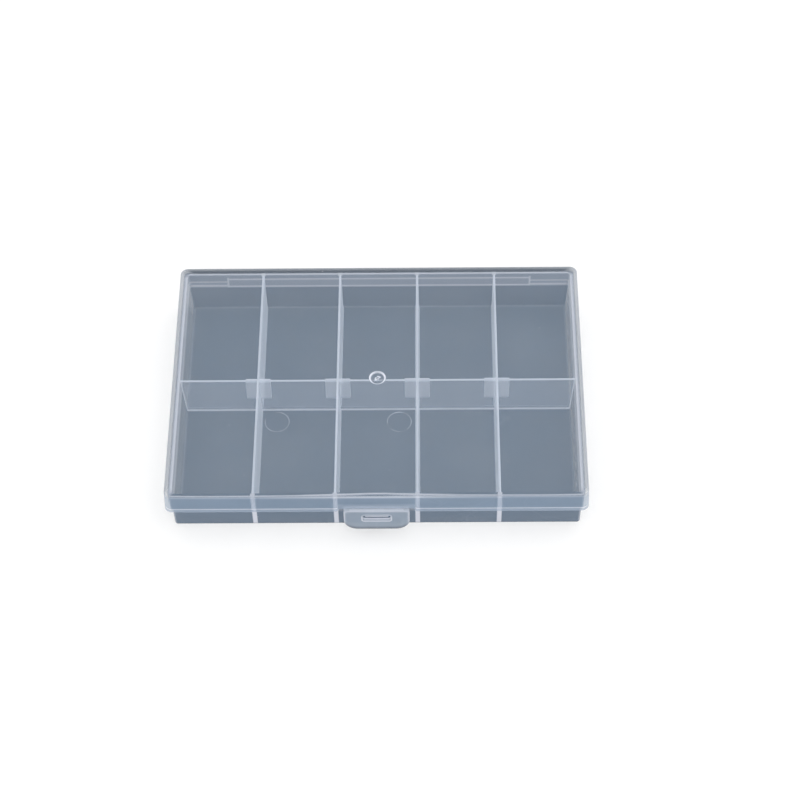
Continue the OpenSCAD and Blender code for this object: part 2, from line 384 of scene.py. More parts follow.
def lip_glow(column, inset, back, side):
    """A painted highlight line along the lip. Along the front wall the line lies far in at the
    middle, where the wall bows inwards, and moves out towards the ends."""
    along = abs(column[3]) / LINE_HALF_W if column[0] == "x" else 1.0
    line = LINE_MIDDLE - LINE_SWING * min(1.0, along)
    front = max(0.0, 1.0 - ((inset - line) / LINE_HALF) ** 2)
    value = by_side(column, back, side, front)
    return max(value, SEAM_LIP_GLOW) if column[0] == "x" and at_seam(column) else value


def inner_glow(column, z, beside_rail, at_rail, side):
    """Painted brightness for what shows through the wall: the rail at the back, and the skirt."""
    at_back = column[0] == "x" and column[2] == 1
    off_bar = abs(abs(column[3]) - RAIL_BAR_X)
    if at_back and off_bar < BAR_HALF + BAR_SOFT / 2 and BAR_LOW_Z < z < BAR_HIGH_Z:
        return BAR_GLOW
    on_rail = at_back and abs(column[3]) < RAIL_BAR_X
    return by_side(column, at_rail if on_rail else beside_rail, side, beside_rail)


def round_tray(mark, *numbers):
    """A mark at every column of the tray."""
    return [mark(column, *numbers) for column in tray_columns]


print("marks of the wall and the lip ready")

# %% Tray moulding
# Inset, height, and painted highlight at the back and the sides of each ring over the lip
outer_lip = [(1.31, 16.6, 0.0, 0.8), (1.37, 16.8, 0.0, 0.8), (1.6, WALL_TOP_Z, 0.5, 0.85)]
inner_lip = [(1.82, WALL_TOP_Z, 1.0, 0.9), (2.06, WALL_TOP_Z, 0.9, 1.0),
             (2.27, 16.87, 0.4, 1.0), (2.41, 16.77, 0.3, 0.9), (2.47, 16.6, 0.35, 0.7)]
tray_rings = [(tray_ring(inset, z, TRAY_OUTER_R), round_tray(outer_glow, z, glow), shade)
              for inset, z, glow, shade in outer_section]
for section, radius in ((outer_lip, TRAY_OUTER_R), (inner_lip, TRAY_INNER_R)):
    tray_rings += [(tray_ring(inset, z, radius), round_tray(lip_glow, inset, *marks), 0.0)
                   for inset, z, *marks in section]
tray_rings += [(tray_ring(inner_inset(z), z, TRAY_INNER_R), round_tray(inner_glow, z, *marks), 0.0)
               for z, *marks in inner_marks]
# Inset, height and painted highlight of each ring of the fillet round the floor
tray_rings += [(tray_ring(inset, z, TRAY_INNER_R), glow, 0.0) for inset, z, glow in (
    (3.42, 1.65, 0.04), (3.53, 1.38, 0.12), (3.72, 1.24, 0.12), (3.95, FLOOR_Z, 0.04),
    (4.4, FLOOR_Z, 0.0))]
tray_piece = loft("tray", tray_rings)
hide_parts("tray_shell")
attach(tray_piece, "tray")
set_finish(tray_piece, "tray_plastic")

# %% [markdown]
# ## Divider strips
#
# One long strip runs left to right, and four short strips cross it. Each crossing is a lap
# joint: half a slot in each strip, with a pad on the long one to stiffen it there. A strip
# is made as a sheet of cells, columns by rows. Leaving cells out cuts a slot, and its
# thickness may change from cell to cell. So draft, foot fillet, rounded top, pads and slots
# all come from one builder, and the piece stays closed.

# %% Numbers of the strips
STRIP_TOP_Z = 16.7
STRIP_TOP_HALF, STRIP_FOOT_HALF = 0.375, 0.575
LAP_Z, LAP_GAP = 7.865, 0.02
PAD_HALF_W, PAD_HALF = 4.15, 0.789
FOOT_FILLET, TOP_ROUND = 0.38, 0.2
WALL_GAP, FLOOR_GAP = 0.02, 0.01


def strip_half(z):
    """Half the strip's thickness by draft alone."""
    share = (z - FLOOR_Z) / (STRIP_TOP_Z - FLOOR_Z)
    return STRIP_FOOT_HALF + (STRIP_TOP_HALF - STRIP_FOOT_HALF) * share


def rounded_half(half, z):
    """The same with a fillet at the floor and a rounded top."""
    low, high = FLOOR_Z + FOOT_FILLET - z, z - STRIP_TOP_Z + TOP_ROUND
    if low > 0:
        half += FOOT_FILLET - math.sqrt(max(0, FOOT_FILLET ** 2 - low ** 2))
    if high > 0:
        half -= TOP_ROUND - math.sqrt(max(0, TOP_ROUND ** 2 - high ** 2))
    return half


foot_rows = [FLOOR_Z + FLOOR_GAP, FLOOR_Z + 0.06, FLOOR_Z + 0.17, FLOOR_Z + FOOT_FILLET]
side_rows = [2.2, 5, LAP_Z, LAP_Z + LAP_GAP, LAP_Z + 0.12, 9, 13, 16, STRIP_TOP_Z - TOP_ROUND]
top_rows = [STRIP_TOP_Z - 0.1, STRIP_TOP_Z - 0.03, STRIP_TOP_Z]
strip_rows = foot_rows + side_rows + top_rows
print(len(strip_rows), "rows up each strip")


# %% Builder of a strip
# Painted highlights on the strips' tops, ends, pads and feet, dimmer low on the pads
TOP_GLOW, PAD_TOP_GLOW, END_GLOW = 0.9, 0.6, 0.8
PAD_GLOW, PAD_LOW_GLOW, PAD_FADE_Z = 0.58, 0.3, 8.5
FOOT_CREASE_SHARE = 0.5


def strip(name, stations, half_at, is_solid, foot_glow, ends, place, on_pad=None):
    """Closed strip. stations(z) lists the columns along it at a height, half_at(i, z) is half
    its thickness, is_solid(i, j) says if a cell is there, place turns (u, v, z) into x, y, z.
    foot_glow holds the painted highlight of its two feet, ends says which columns carry a
    painted highlight at its ends, and on_pad(i, z) says where a pad stands out and is painted
    brighter."""
    points, glow, index, faces = [], [], {}, []
    across = [stations(z) for z in strip_rows]
    cells = {(i, j) for j in range(len(strip_rows) - 1)
             for i in range(len(across[0]) - 1) if is_solid(i, j)}

    def point(i, j, side):
        if (i, j, side) not in index:
            index[i, j, side] = len(points)
            z = strip_rows[j]
            points.append(place(across[j][i], side * half_at(i, z), z))
            at_end = i in ends or len(across[0]) - 1 - i in ends
            at_pad = on_pad is not None and on_pad(i, z)
            if z in top_rows:
                glow.append(PAD_TOP_GLOW if at_pad and side < 0 else TOP_GLOW)
            elif z in foot_rows and foot_glow[side]:
                glow.append(foot_glow[side] * (FOOT_CREASE_SHARE if j < 2 else 1.0))
            elif at_end:
                glow.append(END_GLOW)
            elif at_pad:
                glow.append(PAD_GLOW if z > PAD_FADE_Z else PAD_LOW_GLOW)
            else:
                glow.append(0.0)
        return index[i, j, side]

    for i, j in sorted(cells):
        for side in (-1, 1):
            faces.append([point(i, j, side), point(i + 1, j, side),
                          point(i + 1, j + 1, side), point(i, j + 1, side)])
        rims = {(i - 1, j): ((i, j), (i, j + 1)), (i + 1, j): ((i + 1, j), (i + 1, j + 1)),
                (i, j - 1): ((i, j), (i + 1, j)), (i, j + 1): ((i, j + 1), (i + 1, j + 1))}
        for beside, (a, b) in rims.items():
            if beside not in cells:
                faces.append([point(*a, -1), point(*b, -1), point(*b, 1), point(*a, 1)])
    piece = mesh_piece(name, points, faces, glow, [0.0] * len(points))
    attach(piece, "tray")
    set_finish(piece, "divider_plastic")
    return piece


print("strip builder ready")

# %% Long strip with its pads
PAD_STEP = 0.12
END_SOFT, END_CLEAR = 0.3, 0.5
LEAD, PER_CROSSING = 3, 6
lap_row = strip_rows.index(LAP_Z)


def long_stations(z):
    """Three columns at each end of the strip, and six at each crossing."""
    end = HALF_W - inner_inset(z) - WALL_GAP
    slot = strip_half(max(z, LAP_Z)) + LAP_GAP
    made = [-end, -end + END_SOFT, -end + END_CLEAR]
    for x in cross_places:
        made += [x - PAD_HALF_W, x - PAD_HALF_W + PAD_STEP, x - slot, x + slot,
                 x + PAD_HALF_W - PAD_STEP, x + PAD_HALF_W]
    return made + [end - END_CLEAR, end - END_SOFT, end]


def long_kind(i):
    """Which of the six columns of a crossing this is, or None near the ends."""
    at_crossing = LEAD <= i < LEAD + PER_CROSSING * len(cross_places)
    return (i - LEAD) % PER_CROSSING if at_crossing else None


def pad_at(i, z):
    return long_kind(i) in (1, 2, 3, 4) and z > LAP_Z


def long_half(i, z):
    return rounded_half(PAD_HALF if pad_at(i, z) else strip_half(z), z)


def long_solid(i, j):
    return not (long_kind(i) == 2 and j >= lap_row)


# The long strip's painted highlight runs along its front foot only
long_strip = strip("long_strip", long_stations, long_half, long_solid, {-1: 1.0, 1: 0.0},
                   (0, 1), lambda u, v, z: (u, v, z), pad_at)
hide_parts("long_divider")

# %% Four cross strips
for number, (node_name, x_place) in enumerate(zip(cross_nodes, cross_places), 1):
    def cross_stations(z, x=x_place):
        end = HALF_D - inner_inset(z) - WALL_GAP
        slot = strip_half(min(z, LAP_Z)) + LAP_GAP
        front = -end + front_bow(x, z)
        return [front, front + END_SOFT, -slot, slot, end - END_SOFT, end]

    cross_strip = strip(f"cross_strip_{number}", cross_stations,
                        lambda i, z: rounded_half(strip_half(z), z),
                        lambda i, j: not (i == 2 and j <= lap_row), {-1: 0.5, 1: 0.5}, (0,),
                        lambda u, v, z, x=x_place: (x + v, u, z))
    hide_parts(node_name)

# %% [markdown]
# ## Lid
#
# The lid is a thin plate with a skirt that flares out a little. Its lower edge is not
# level all the way: it rises over the hinge rail at the back and beside the tab at the
# front. So every column of the lid carries the height of its own lip, with rounded steps
# where it changes. In the middle of the plate is the round well of the moulding gate, with
# the stub that the gate left. Rings run from that stub outwards, over the edge, down the
# skirt, round its lip, up the inside and across the underside.

# %% Lip heights along the skirt
SKIRT_Z, NOTCH_Z, SEAT_Z, FRONT_CUT_Z = 10.0, 12.0, 11.3, 11.5
NOTCH_X, SEAT_X, FRONT_CUT_X = 52.3, 55.3, 12.3
ROUND_STEPS, STEP_LEAN = 4, 0.01


def step_up(x, low, high, r_low, r_high):
    """(x, height) pairs of a lip that climbs at x, with both of its corners rounded."""
    turns = [math.pi / 2 * i / ROUND_STEPS for i in range(ROUND_STEPS + 1)]
    foot = [(x - STEP_LEAN - r_low + r_low * math.sin(t), low + r_low * (1 - math.cos(t)))
            for t in turns]
    head = [(x + STEP_LEAN + r_high * (1 - math.cos(t)), high - r_high + r_high * math.sin(t))
            for t in turns]
    return foot + head


def mirrored(pairs):
    return [(-x, z) for x, z in reversed(pairs)]


def flat(xs, z):
    """(x, height) pairs of a lip that is level."""
    return [(x, z) for x in xs]


back_steps = (step_up(-SEAT_X, SKIRT_Z, SEAT_Z, 0.25, 0.15)
              + step_up(-NOTCH_X, SEAT_Z, NOTCH_Z, 0.15, 0.3))
front_steps = step_up(-FRONT_CUT_X, SKIRT_Z, FRONT_CUT_Z, 0.8, 0.3)
back_lip = (flat((-62, -58.5), SKIRT_Z) + back_steps + flat(spread(-48, 48, 13), NOTCH_Z)
            + mirrored(back_steps) + flat((58.5, 62), SKIRT_Z))
front_lip = (flat(spread(-62, -16, 8), SKIRT_Z) + front_steps
             + flat(spread(-8, 8, 5), FRONT_CUT_Z)
             + mirrored(front_steps) + flat(spread(16, 62, 8), SKIRT_Z))
lid_columns = columns([x for x, z in front_lip], [x for x, z in back_lip], spread(-40, 40, 9))
lip_of = {(-1, x): z for x, z in front_lip} | {(1, x): z for x, z in back_lip}
lips = [lip_of[c[2], c[3]] if c[0] == "x" else SKIRT_Z for c in lid_columns]
print(len(lid_columns), "columns round the lid, lips from", min(lips), "to", max(lips))

# %% Lid moulding, its skirt and its columns
LID_TOP_Z, EDGE_Z, UNDER_Z = 18.0, 17.5, 17.0
FLARE, SKIRT_H = 0.3, 7.5
INNER_TOP, INNER_LEAN = 1.1, 0.25
LID_OUTER_R, LID_INNER_R = 2.4, 1.44
TURN_INSET = 2


def skirt_out(z):
    return -FLARE * (EDGE_Z - z) / SKIRT_H


def skirt_in(z):
    return INNER_TOP - INNER_LEAN * (UNDER_Z - z) / (UNDER_Z - SKIRT_Z)


def lid_ring(heights, insets, radius):
    """Ring with its own height and inset at each column."""
    return [(*stand(c, i, radius), z) for c, z, i in zip(lid_columns, heights, insets)]


def turn(column):
    """Angle of a column, seen from the middle of the lid."""
    x, y = stand(column, TURN_INSET, LID_OUTER_R)
    return math.atan2(y, x)


print("the skirt flares by", FLARE, "mm over", SKIRT_H, "mm")

# %% Gate well and its stub
WELL_R, WELL_DEPTH, STUB_R, STUB_H = 2.7, 0.45, 0.77, 0.315
TEAR_ANGLE = math.radians(40)
well_z = LID_TOP_Z - WELL_DEPTH


def round_ring(radius, z, dent=0.0):
    """Round ring in the well, with a point under each column of the plate's edge. A dent
    pulls it out of round, mostly along the way the gate was torn off."""
    ring = []
    for column in lid_columns:
        angle = turn(column)
        r = radius * (1 + dent * math.cos(2 * (angle - TEAR_ANGLE))
                      + dent * math.sin(5 * angle) / 2)
        ring.append((r * math.cos(angle), r * math.sin(angle), z))
    return ring


def sideways(high, low):
    """A mark that is high at the left and right of the well, and low at its front and back."""
    return [low + (high - low) * abs(math.cos(turn(c))) for c in lid_columns]


# Radius, height, dent, glow and shade of each ring, from the stub's tip out to the plate:
# a painted highlight round the stub and the well's rim, painted shade on the well's floor
lid_rings = [(round_ring(radius, z, dent), glow, shade) for radius, z, dent, glow, shade in (
    (0.25, well_z + STUB_H * 0.7, 0.3, 0.5, 0.0),
    (0.5, well_z + STUB_H, 0.35, 1.3, 0.0),
    (STUB_R * 0.95, well_z + STUB_H * 0.9, 0.4, 1.2, 0.0),
    (STUB_R * 1.1, well_z + STUB_H * 0.5, 0.4, 0.5, 0.0),
    (STUB_R * 1.2, well_z + 0.03, 0.35, 0.1, 0.2),
    (STUB_R * 1.4, well_z, 0.2, 0.0, sideways(0.55, 0.25)),
    (WELL_R - 0.7, well_z, 0.0, 0.0, sideways(0.55, 0.2)),
    (WELL_R - 0.52, well_z + 0.03, 0.0, sideways(0.8, 0.6), 0.0),
    (WELL_R - 0.32, well_z + 0.15, 0.0, sideways(1.6, 1.0), 0.0),
    (WELL_R - 0.12, LID_TOP_Z - 0.12, 0.0, sideways(1.6, 1.1), 0.0),
    (WELL_R - 0.02, LID_TOP_Z - 0.02, 0.0, sideways(1.5, 0.9), 0.0),
    (WELL_R + 0.1, LID_TOP_Z, 0.0, 0.5, 0.0),
    (WELL_R + 0.3, LID_TOP_Z, 0.0, 0.0, 0.0))]
print(len(lid_rings), "rings in the well")


# %% Rings of the plate's edge
FADE_START_X, FADE_L, FADED_SHARE = 10, 30, 0.5


def edge_marks(back, side, front):
    """Marks of a ring. At the front they fade towards the ends of the edge."""
    made = []
    for c in lid_columns:
        fade = max(0.0, abs(c[3]) - FADE_START_X) / FADE_L if c[0] == "x" else 1.0
        middle = max(0.0, 1.0 - fade)
        share = FADED_SHARE + (1 - FADED_SHARE) * middle
        made.append(by_side(c, back, side, front * share))
    return made


def level(value):
    """The same value at every column of the lid."""
    return [value] * len(lid_columns)


# Inset and height of each ring over the edge, its painted highlight, then its painted shade,
# at back, sides, front: the back edge is painted dark and the front edge bright
for inset, z, glow, shade in (
        (2.3, LID_TOP_Z, (0, 0, 0), (0, 0, 0)),
        (2.12, LID_TOP_Z, (0, 0, 0), (1.0, 0, 0)),
        (1.55, LID_TOP_Z, (0, 0, 0), (1.0, 0.4, 0)),
        (1.1, LID_TOP_Z, (0, 0, 0), (0.9, 0.58, 0)),
        (0.8, LID_TOP_Z, (0, 0, 0.05), (0.82, 0.55, 0)),
        (0.33, 17.96, (0, 0.08, 0.3), (0.72, 0.55, 0)),
        (0.14, 17.84, (0, 0.15, 0.8), (0.6, 0.5, 0)),
        (0.03, 17.66, (0, 0.15, 1.0), (0.5, 0.45, 0)),
        (0.004, EDGE_Z - 0.1, (0, 0.15, 0.9), (0.4, 0.45, 0)),
        (skirt_out(17.1), 17.1, (0, 0.1, 0.4), (0.2, 0.4, 0)),
        (skirt_out(16.5), 16.5, (0, 0, 0.1), (0, 0.3, 0))):
    lid_rings.append((lid_ring(level(z), level(inset), LID_OUTER_R), edge_marks(*glow),
                      edge_marks(*shade)))
print(len(lid_rings), "rings from the stub to the skirt")

# %% Rings of the skirt and of the underside
# Where the lip is raised, beside the tab and over the rail, the painted highlight lines at
# the lip stay dull, and the skirt's sides carry painted shade
RAISED, RAISED_GLOW, RAISED_TOP_GLOW = 0.4, 0.25, 0.05
SIDE_SHADE = 0.2


def above_lip(lift):
    return [lip + lift for lip in lips]


# Height above the lip and glow of each ring down the skirt: two painted highlight lines at
# its lip
for lift, glow in ((2.9, 0.0), (1.95, 0.05), (1.75, 0.85), (1.5, 0.85), (1.3, 0.12),
                   (0.55, 0.12), (0.3, 0.3), (0.12, 0.3)):
    heights = above_lip(lift)
    raised_glow = RAISED_GLOW if lift < 2 else RAISED_TOP_GLOW
    lid_rings.append((lid_ring(heights, [skirt_out(z) for z in heights], LID_OUTER_R),
                      [raised_glow if lip > SKIRT_Z + RAISED else glow for lip in lips],
                      edge_marks(0, SIDE_SHADE, 0)))
# Share of the way from the outer to the inner face, height and painted highlight of each
# ring round the lip
for part, lift, glow in ((0.03, 0.05, 0.2), (0.2, 0.0, 0.2), (0.5, 0.0, 0.1),
                         (0.8, 0.0, 0.6), (0.97, 0.12, 0.8)):
    heights = above_lip(lift)
    insets = [skirt_out(z) + (skirt_in(z) - skirt_out(z)) * part for z in heights]
    radius = LID_OUTER_R if part < 0.5 else LID_INNER_R
    lid_rings.append((lid_ring(heights, insets, radius), glow, 0.0))
# Share of the way up the inner face, glow and shade of each ring, then those of the underside:
# painted highlight low down, and painted shade high up, mostly at the back
for share, glow, shade in ((0.08, 0.3, 0.0), (0.2, 0.0, 0.0), (0.4, 0.0, 0.0),
                           (0.7, 0.0, 0.9), (0.9, 0.0, 1.0), (0.96, 0.0, 1.0)):
    heights = [lip + (UNDER_Z - lip) * share for lip in lips]
    lid_rings.append((lid_ring(heights, [skirt_in(z) for z in heights], LID_INNER_R),
                      glow, edge_marks(shade, 0.3 * shade, 0.0)))
for inset, z, shade in ((1.2, 16.88, 0.8), (1.35, 16.98, 0.8), (1.6, UNDER_Z, 0.6),
                        (2.1, UNDER_Z, 0.0)):
    lid_rings.append((lid_ring(level(z), level(inset), LID_INNER_R), 0.0,
                      edge_marks(shade, 0.35 * shade, 0.0)))

lid_piece = loft("lid", lid_rings)
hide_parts("lid_shell")
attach(lid_piece, "lid")
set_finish(lid_piece, "lid_plastic")

# %% [markdown]
# ## Hinge
#
# The lid turns on two pins at the ends of a long rail on the tray's back wall. Each pin
# sits in a knuckle under the skirt. The rail and its pins are one loft along the hinge
# line, and each knuckle is a loft round its bore, with softened edges.

# %% Rail and pins
RAIL_HALF, RAIL_WALL_Y = 52.0, 46.0
HINGE_Y, HINGE_Z = 47.75, 10.0
RAIL_R, PIN_R, PIN_END = 1.595, 0.6, 54.8
RAIL_POINTS = 40
TINY = 1e-6


def rail_reach(angle):
    """How far the rail's section reaches from the hinge line at an angle. It is round at
    the back, and a web reaches the wall in front of it."""
    dy, dz = math.cos(angle), math.sin(angle)
    if dy >= 0:
        return RAIL_R
    to_wall = (HINGE_Y - RAIL_WALL_Y) / -dy
    return min(to_wall, RAIL_R / max(abs(dz), TINY))


def hinge_ring(x, reach_at, inset):
    ring = []
    for i in range(RAIL_POINTS):
        angle = 2 * math.pi * i / RAIL_POINTS
        r = reach_at(angle) - inset
        ring.append((x, HINGE_Y + r * math.cos(angle), HINGE_Z + r * math.sin(angle)))
    return ring


def hinge_rings(rows):
    """Rings from rows of the place along the hinge line, the section, its inset and painted glow.
    """
    return [(hinge_ring(x, reach_at, inset), glow, 0.0) for x, reach_at, inset, glow in rows]


def round_reach(radius):
    """Section of a round pin or bore."""
    return lambda angle: radius


pin_reach = round_reach(PIN_R)
half_rail = hinge_rings([
    (PIN_END, pin_reach, 0.2, 0.6), (PIN_END - 0.06, pin_reach, 0.06, 0.6),
    (PIN_END - 0.2, pin_reach, 0.0, 0.2), (RAIL_HALF + 0.06, pin_reach, 0.0, 0.2),
    (RAIL_HALF, pin_reach, -0.1, 0.9), (RAIL_HALF, rail_reach, 0.2, 1.0),
    (RAIL_HALF - 0.06, rail_reach, 0.06, 1.0), (RAIL_HALF - 0.22, rail_reach, 0.0, 0.8),
    (RAIL_HALF - 0.6, rail_reach, 0.0, 0.0)])
other_half = [([(-x, y, z) for x, y, z in ring], g, s) for ring, g, s in reversed(half_rail)]
rail_piece = loft("hinge_rail_and_pins", half_rail + other_half)
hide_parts("hinge_rail")
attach(rail_piece, "tray")
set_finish(rail_piece, "hinge_plastic")

# %% Knuckles
BORE_R, KNUCKLE_R, KNUCKLE_TOP_Z = 0.65, 1.25, 11.28
BORE_SOFT, KNUCKLE_SOFT = 0.08, 0.12


def knuckle_reach(angle):
    """Round below the hinge line, square above it where the knuckle joins the skirt."""
    dy, dz = math.cos(angle), math.sin(angle)
    if dz <= 0:
        return KNUCKLE_R
    return min((KNUCKLE_TOP_Z - HINGE_Z) / max(dz, TINY), KNUCKLE_R / max(abs(dy), TINY))


bore_reach = round_reach(BORE_R)
for side, label in ((-1, "left"), (1, "right")):
    near, far = side * NOTCH_X, side * SEAT_X
    soft = side * KNUCKLE_SOFT
    knuckle = loft(f"lid_knuckle_{label}", hinge_rings([
        (near + soft, bore_reach, 0.0, 0.2), (near, bore_reach, -BORE_SOFT, 0.8),
        (near, knuckle_reach, KNUCKLE_SOFT, 0.8), (near + soft, knuckle_reach, 0.0, 0.3),
        (far - soft, knuckle_reach, 0.0, 0.3), (far, knuckle_reach, KNUCKLE_SOFT, 0.8),
        (far, bore_reach, -BORE_SOFT, 0.8), (far - soft, bore_reach, 0.0, 0.2)]), tube=True)
    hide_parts(f"hinge_knuckle_{label}")
    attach(knuckle, "lid")
    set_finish(knuckle, "hinge_plastic")

# %% [markdown]
# ## Latch
#
# The tab hangs in front of the skirt from a short ledge, and bends at its root. Its lower
# corners are large and round, and a raised bead frames its window. Behind the window sits
# the tray's catch. The plate is a loft round the window, like a picture frame. The ledge and
# the root strip are a second solid, joined to the plate by a boolean union so that no inner
# wall is left to show through the plastic.

# %% Outlines of the tab
TAB_HALF_W, TAB_FOOT_Z, TAB_TOP_Z = 10.5, 2.0, 11.9
TAB_CORNER_R, TAB_TOP_R = 4.5, 0.4
TAB_FRONT_Y, TAB_BACK_Y = -49.1, -48.0
WINDOW_Z, WINDOW_HALF_W, WINDOW_HALF_H, WINDOW_R = 8.35, 4.4, 1.45, 0.6
TAB_POINTS = 96


def box_reach(dx, dz, half_w, up, down, r_up, r_down):
    """Distance from the window's middle to a round-cornered box, in direction (dx, dz)."""
    reach_z, radius = (up, r_up) if dz > 0 else (down, r_down)
    t = min(half_w / max(abs(dx), 1e-9), reach_z / max(abs(dz), 1e-9))
    cx, cz = half_w - radius, reach_z - radius
    if abs(dx) * t > cx and abs(dz) * t > cz:
        along = abs(dx) * cx + abs(dz) * cz
        t = along + math.sqrt(max(0.0, along ** 2 - cx ** 2 - cz ** 2 + radius ** 2))
    return t


def tab_angles():
    """Directions from the window's middle, closer together where the outline turns."""
    corners = [math.atan2(z, x) for x, z in
               ((TAB_HALF_W, TAB_TOP_Z - WINDOW_Z), (-TAB_HALF_W, TAB_TOP_Z - WINDOW_Z))]
    even = [2 * math.pi * i / TAB_POINTS for i in range(TAB_POINTS)]
    return sorted({round(a % (2 * math.pi), 4) for a in even + corners})


def tab_ring(y, grow, window, lift=0.0):
    """Ring at a depth: the window's outline or the tab's own one, grown or shrunk. The
    tab's foot may be lifted more than its other edges shrink."""
    ring = []
    for angle in tab_angles():
        dx, dz = math.cos(angle), math.sin(angle)
        if window:
            reach = box_reach(dx, dz, WINDOW_HALF_W + grow, WINDOW_HALF_H + grow,
                              WINDOW_HALF_H + grow, WINDOW_R + grow, WINDOW_R + grow)
        else:
            reach = box_reach(dx, dz, TAB_HALF_W + grow, TAB_TOP_Z - WINDOW_Z + grow,
                              WINDOW_Z - TAB_FOOT_Z + grow - lift, TAB_TOP_R,
                              TAB_CORNER_R + grow)
        ring.append((reach * dx, y, WINDOW_Z + reach * dz))
    return ring


print(len(tab_angles()), "points round the tab and its window")

# %% Plate of the tab with its window and bead
TOP_RIM_SHARE, TOP_RIM_H = 0.45, 0.6
FOOT_RIM_H, FOOT_RIM_FADE = 1.5, 3
SILL_SHARE = 0.8


def upper(ring, high, low):
    """A mark that runs from one value at the tab's foot to another above its corners."""
    def share(z):
        return min(1.0, max(0.0, (z - TAB_FOOT_Z - FOOT_RIM_H) / FOOT_RIM_FADE))
    return [low + (high - low) * share(z) for x, y, z in ring]


def rim(y, grow, glow, shade, lift=0.0):
    """Ring on the tab's own edge. It has a painted highlight at the sides, less at the top, and
    painted shade at its foot."""
    ring = tab_ring(y, grow, False, lift)
    marks = [g * (TOP_RIM_SHARE if z > TAB_TOP_Z - TOP_RIM_H else 1.0)
             for g, (x, y, z) in zip(upper(ring, glow, 0.0), ring)]
    return ring, marks, upper(ring, 0.0, shade)


def bead(y, grow, glow, shade=0.0):
    """Ring of the window, with a painted highlight below and at its sides, and little above."""
    ring = tab_ring(y, grow, True)
    rise = [min(1.0, max(0.0, (z - WINDOW_Z) / WINDOW_HALF_H)) for x, y, z in ring]
    return ring, [glow * (1 - SILL_SHARE * r ** 3) for r in rise], shade


# Distance forward, growth and painted highlight of each ring of the window, then of those
# on the plate
tab_rings = [bead(TAB_BACK_Y - out, grow, glow) for out, grow, glow in (
    (0.0, 0.12, 1.0), (0.12, 0.0, 1.1), (0.5, 0.0, 1.1), (0.65, 0.0, 0.25))]
tab_rings += [bead(TAB_FRONT_Y - out, grow, glow) for out, grow, glow in (
    (0.1, 0.0, 0.25), (0.22, 0.07, 0.7), (0.25, 0.2, 0.95), (0.25, 0.32, 0.95),
    (0.2, 0.45, 0.85), (0.08, 0.54, 0.55))]
tab_rings += [
    bead(TAB_FRONT_Y, 0.66, 0.0, 0.15), (tab_ring(TAB_FRONT_Y, 0.9, True), 0.0, 0.0),
    rim(TAB_FRONT_Y, -0.9, 0.0, 0.0, 1.0), rim(TAB_FRONT_Y, -0.5, 0.25, 0.55, 0.35),
    rim(TAB_FRONT_Y + 0.06, -0.12, 1.05, 0.9), rim(TAB_FRONT_Y + 0.22, 0.0, 0.95, 1.0),
    rim(TAB_BACK_Y - 0.2, 0.0, 0.8, 1.0), rim(TAB_BACK_Y - 0.05, -0.1, 0.4, 0.3),
    (tab_ring(TAB_BACK_Y, -0.3, False), 0.0, 0.0)]
tab_plate = loft("latch_tab_piece", tab_rings, tube=True)

# %% Ledge and root strip of the tab
LEDGE_UNDER_Z, ROOT_TOP_Z = 10.8, 11.5
ROOT_HALF, ROOT_SOFT_END, ROOT_SHRINK = TAB_HALF_W - 0.02, 0.12, 0.12


def bar_rings(corners, half, soft, shrink, end_glow, glow):
    """Rings of a bar along x, from the corners of its section in y and z. At its soft ends
    the section shrinks towards its middle."""
    mid_y, mid_z = [sum(corner[k] for corner in corners) / len(corners) for k in (0, 1)]
    return [([(x, y + (mid_y - y) * by, z + (mid_z - z) * by) for y, z in corners], mark, 0.0)
            for x, by, mark in ((-half, shrink, end_glow), (-half + soft, 0.0, glow),
                                (half - soft, 0.0, glow), (half, shrink, end_glow))]


# Section of the root, from the skirt's inner face forward to the middle of the plate
inner_y, outer_y = skirt_in(SKIRT_Z) - HALF_D, skirt_out(SKIRT_Z) - HALF_D
root_corners = [
    (inner_y, SKIRT_Z), (inner_y, ROOT_TOP_Z), (outer_y + 0.05, ROOT_TOP_Z),
    (outer_y + 0.02, TAB_TOP_Z - 0.12), (outer_y - 0.12, TAB_TOP_Z - 0.004),
    (TAB_BACK_Y - 0.5, TAB_TOP_Z - 0.004), (TAB_BACK_Y - 0.5, LEDGE_UNDER_Z),
    (TAB_BACK_Y + 0.1, LEDGE_UNDER_Z), (outer_y, LEDGE_UNDER_Z - 0.1), (outer_y, SKIRT_Z)]
# Painted highlight round the section of the ledge and root strip
ledge_glow = [0.2, 0.2, 0.3, 0.4, 0.4, 0.4, 0.3, 0.2, 0.2, 0.2]
root_piece = loft("latch_root", bar_rings(root_corners, ROOT_HALF, ROOT_SOFT_END, ROOT_SHRINK,
                                          ledge_glow, ledge_glow))


def union(piece, other):
    """Joins another solid to a piece, and removes the other."""
    cut = piece.modifiers.new("join", "BOOLEAN")
    cut.operation, cut.solver, cut.object = "UNION", "EXACT", other
    piece.modifiers.move(len(piece.modifiers) - 1, 0)
    depsgraph = bpy.context.evaluated_depsgraph_get()
    even = piece.modifiers["even_shading"]
    even.show_viewport = False
    bpy.context.view_layer.update()
    joined = bpy.data.meshes.new_from_object(piece.evaluated_get(depsgraph))
    piece.modifiers.remove(cut)
    even.show_viewport = True
    piece.data = joined
    bpy.data.objects.remove(other)
    print(piece.name, "has", len(joined.polygons), "faces after the union")


union(tab_plate, root_piece)
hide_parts("latch_tab")
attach(tab_plate, "latch")
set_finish(tab_plate, "latch_plastic")

# %% Catch behind the window
CATCH_HALF_W, CATCH_SOFT, CATCH_SHRINK = 3.8, 0.15, 0.2
catch_corners = [(-45.3, 7.02), (-46.0, 9.25), (-46.25, 9.2), (-47.7, 8.06), (-47.84, 7.88),
                 (-47.84, 7.12), (-47.74, 7.02)]
# The catch carries a painted highlight, brightest at its soft ends
catch_piece = loft("window_catch", bar_rings(catch_corners, CATCH_HALF_W, CATCH_SOFT,
                                             CATCH_SHRINK, 1.0, 0.8))
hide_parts("latch_catch")
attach(catch_piece, "tray")
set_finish(catch_piece, "hinge_plastic")
